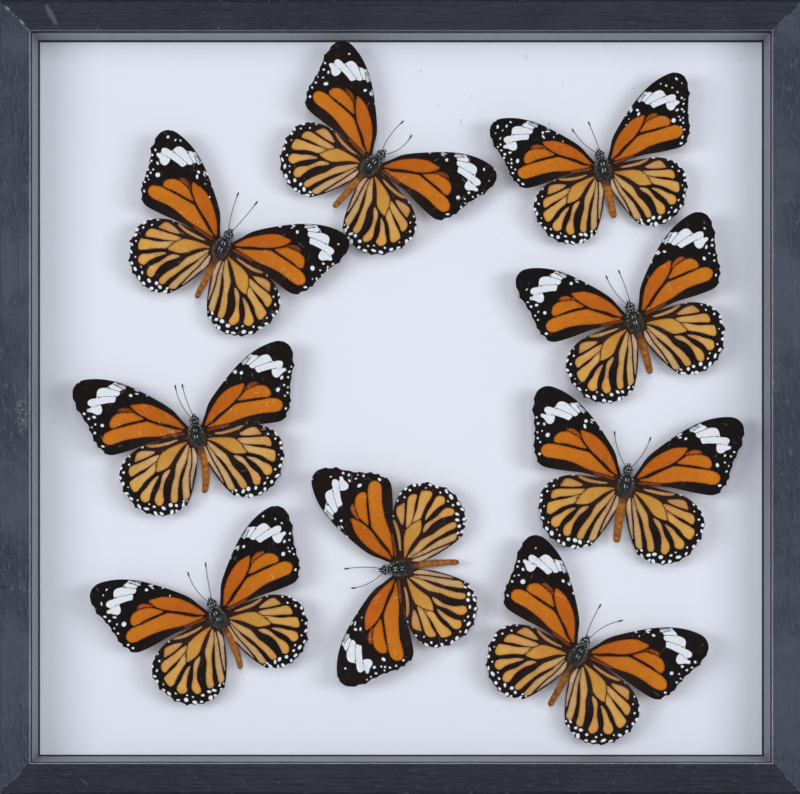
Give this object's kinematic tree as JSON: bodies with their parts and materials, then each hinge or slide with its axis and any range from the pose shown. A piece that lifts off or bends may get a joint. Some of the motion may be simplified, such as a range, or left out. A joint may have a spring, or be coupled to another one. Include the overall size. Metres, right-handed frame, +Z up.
{
  "type": "butterfly display case",
  "caption": "Square glazed wooden display case with a white-lined pinning board, spread orange and black butterflies, turn-button back and hanger.",
  "frame": {"origin": "middle of the underside of the bottom rail, half way between the front face and the back bumpers", "axes": "+Z up, +X to the right seen from the front, the glass faces -Y"},
  "size_m": [0.3062, 0.037, 0.3025],
  "materials": {
    "painted_frame": "dark blue-grey satin paint over wood, brushed",
    "glass": "clear float glass",
    "spacer": "grey matt plastic strip",
    "gasket": "black closed-cell foam",
    "white_paper": "matt white paper",
    "foam_board": "light foam board",
    "hardboard": "brown hardboard",
    "zinc_steel": "zinc-plated steel",
    "bumper_rubber": "black rubber",
    "forewing": "scaled wing, orange cells in black veins with white spots",
    "hindwing": "scaled wing, yellow-orange cells in black veins",
    "insect_body": "dry furry body"
  },
  "bodies": {
    "case": {"back_panel": "hardboard", "board_facing": "white_paper", "board_gasket": "gasket", "butterfly_1_antennae": "insect_body", "butterfly_1_body": "insect_body", "butterfly_1_forewings": "forewing", "butterfly_1_hindwings": "hindwing", "butterfly_2_antennae": "insect_body", "butterfly_2_body": "insect_body", "butterfly_2_forewings": "forewing", "butterfly_2_hindwings": "hindwing", "butterfly_3_antennae": "insect_body", "butterfly_3_body": "insect_body", "butterfly_3_forewings": "forewing", "butterfly_3_hindwings": "hindwing", "butterfly_4_antennae": "insect_body", "butterfly_4_body": "insect_body", "butterfly_4_forewings": "forewing", "butterfly_4_hindwings": "hindwing", "butterfly_5_antennae": "insect_body", "butterfly_5_body": "insect_body", "butterfly_5_forewings": "forewing", "butterfly_5_hindwings": "hindwing", "butterfly_6_antennae": "insect_body", "butterfly_6_body": "insect_body", "butterfly_6_forewings": "forewing", "butterfly_6_hindwings": "hindwing", "butterfly_7_antennae": "insect_body", "butterfly_7_body": "insect_body", "butterfly_7_forewings": "forewing", "butterfly_7_hindwings": "hindwing", "butterfly_8_antennae": "insect_body", "butterfly_8_body": "insect_body", "butterfly_8_forewings": "forewing", "butterfly_8_hindwings": "hindwing", "butterfly_9_antennae": "insect_body", "butterfly_9_body": "insect_body", "butterfly_9_forewings": "forewing", "butterfly_9_hindwings": "hindwing", "corner_nails": "zinc_steel", "front_glass": "glass", "hanger_plate": "zinc_steel", "hanger_screws": "zinc_steel", "insect_pins": "zinc_steel", "mount_board": "foam_board", "rail_bottom": "painted_frame", "rail_left": "painted_frame", "rail_right": "painted_frame", "rail_top": "painted_frame", "spacer_bottom": "spacer", "spacer_left": "spacer", "spacer_right": "spacer", "spacer_top": "spacer", "turn_button_screws": "zinc_steel", "wall_bumpers": "bumper_rubber"},
    "turn_button_1": {"turn_button_1": "zinc_steel"},
    "turn_button_2": {"turn_button_2": "zinc_steel"},
    "turn_button_3": {"turn_button_3": "zinc_steel"},
    "turn_button_4": {"turn_button_4": "zinc_steel"},
    "hanger_ring": {"hanger_ring": "zinc_steel"}
  },
  "joints": [
    {"name": "turn_button_1_pivot", "type": "hinge", "parent": "case", "child": "turn_button_1", "pos_m": [-0.1488, 0.0145, 0.22625], "axis": [0, 1, 0], "continuous": true},
    {"name": "turn_button_2_pivot", "type": "hinge", "parent": "case", "child": "turn_button_2", "pos_m": [0.1488, 0.0145, 0.22625], "axis": [0, 1, 0], "continuous": true},
    {"name": "turn_button_3_pivot", "type": "hinge", "parent": "case", "child": "turn_button_3", "pos_m": [-0.1488, 0.0145, 0.07625], "axis": [0, 1, 0], "continuous": true},
    {"name": "turn_button_4_pivot", "type": "hinge", "parent": "case", "child": "turn_button_4", "pos_m": [0.1488, 0.0145, 0.07625], "axis": [0, 1, 0], "continuous": true},
    {"name": "hanger_ring_swing", "type": "hinge", "parent": "case", "child": "hanger_ring", "pos_m": [0, 0.0164, 0.2982], "axis": [1, 0, 0], "range_deg": [-5, 180]}
  ]
}
